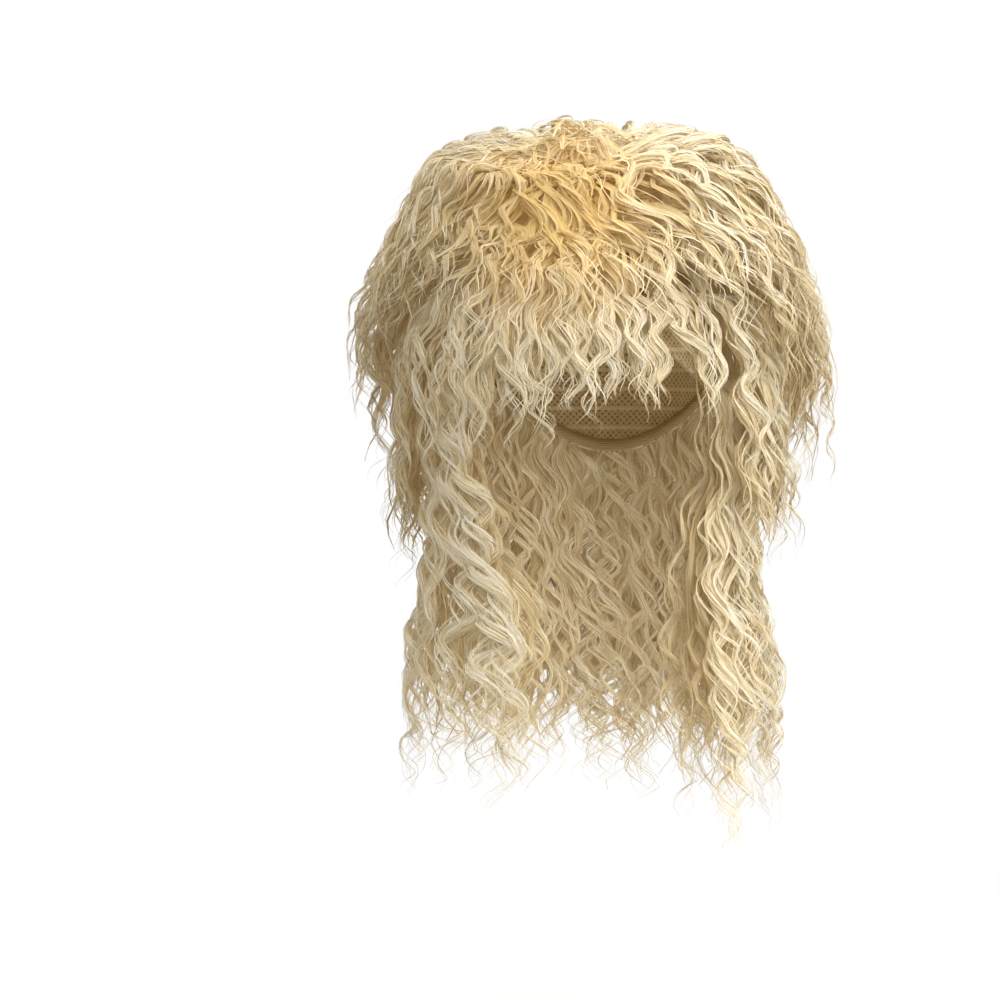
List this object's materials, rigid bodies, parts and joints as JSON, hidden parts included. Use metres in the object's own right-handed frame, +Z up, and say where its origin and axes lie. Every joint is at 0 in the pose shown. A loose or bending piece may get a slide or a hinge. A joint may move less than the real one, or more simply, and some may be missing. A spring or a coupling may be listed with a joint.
{
  "type": "long curly costume wig",
  "caption": "Long curly blond costume wig in its worn shape: an elastic cap with a bound edge, a full crown, a ragged fringe and waved hair that hangs at the sides and back.",
  "frame": {"origin": "inside of the cap's top, where the wearer's crown sits", "axes": "+Z up, the face looks along -Y, and +X is on the right of a front view"},
  "size_m": [0.2866, 0.2754, 0.4507],
  "materials": {
    "hair": "glossy synthetic fibre, pale blond",
    "cap_net": "matt knitted net",
    "elastic": "matt ribbed elastic"
  },
  "bodies": {
    "root": {"cap": "cap_net", "edge_band": "elastic", "hair_tuft": "hair", "hair_crown": "hair", "hair_fringe_top": "hair", "hair_fringe_edge": "hair", "hair_upper_left": "hair", "hair_upper_right": "hair", "hair_upper_back": "hair", "hair_long_left": "hair", "hair_long_right": "hair", "hair_long_back": "hair"}
  },
  "joints": []
}
